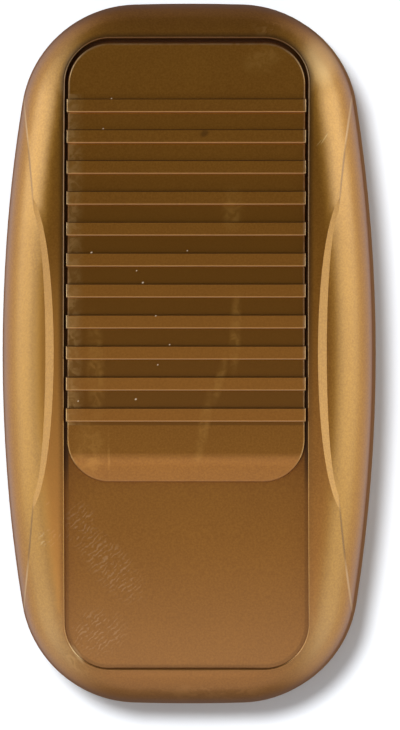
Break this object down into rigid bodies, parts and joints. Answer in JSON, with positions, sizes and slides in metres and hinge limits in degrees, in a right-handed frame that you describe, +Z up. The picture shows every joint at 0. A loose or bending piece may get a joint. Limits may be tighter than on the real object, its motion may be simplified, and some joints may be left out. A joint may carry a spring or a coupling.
{
  "type": "foot dimmer",
  "caption": "Floor-standing lamp dimmer with bowed case, arched top and a ribbed foot slide in a recess; cord inlets at both ends.",
  "frame": {"origin": "on the floor under the middle of the case", "axes": "+Z up, +Y along the case towards the end where the slide rests, +X across it"},
  "size_m": [0.0594, 0.112, 0.0287],
  "materials": {
    "gold_abs": "satin moulded metallic pigment",
    "black_rubber": "matte",
    "zinc_steel": "satin",
    "board_laminate": "matte",
    "black_plastic": "matte",
    "grey_plastic": "matte",
    "ferrite": "matte",
    "copper_wire": "gloss",
    "aluminium": "satin",
    "film_yellow": "satin",
    "film_red": "gloss",
    "resistor_lacquer": "satin",
    "diac_glass": "gloss",
    "clear_glass": "gloss",
    "tinned_brass": "satin"
  },
  "bodies": {
    "case": {"top_housing": "gold_abs", "base_cover": "gold_abs", "rubber_feet": "black_rubber", "case_screws": "zinc_steel", "circuit_board": "board_laminate", "board_screws": "zinc_steel", "control_cover": "zinc_steel", "control_base": "board_laminate", "choke_core": "ferrite", "choke_winding": "copper_wire", "heat_sink": "aluminium", "triac": "black_plastic", "triac_screw": "zinc_steel", "suppression_capacitor": "film_yellow", "timing_capacitors": "film_red", "resistors": "resistor_lacquer", "diac": "diac_glass", "fuse_glass": "clear_glass", "fuse_caps": "tinned_brass", "fuse_clips": "tinned_brass", "mains_terminal": "grey_plastic", "lamp_terminal": "grey_plastic", "terminal_screws": "zinc_steel", "mains_cord_clamp": "black_plastic", "lamp_cord_clamp": "black_plastic", "clamp_screws": "zinc_steel"},
    "slide": {"foot_slider": "gold_abs", "slider_keeper": "black_plastic", "keeper_screws": "zinc_steel"},
    "control": {"control_lever": "black_plastic"}
  },
  "joints": [
    {"name": "slide_travel", "type": "hinge", "parent": "case", "child": "slide", "pos_m": [0, -0.0099, -0.3718], "axis": [1, 0, 0], "range_deg": [0, 4.18]},
    {"name": "control_travel", "type": "slide", "parent": "case", "child": "control", "axis": [0, -1, 0], "range_m": [0, 0.02865]}
  ],
  "couplings": [
    {"joint": "control_travel", "follows": "slide_travel", "m_per_rad": 0.39055}
  ]
}
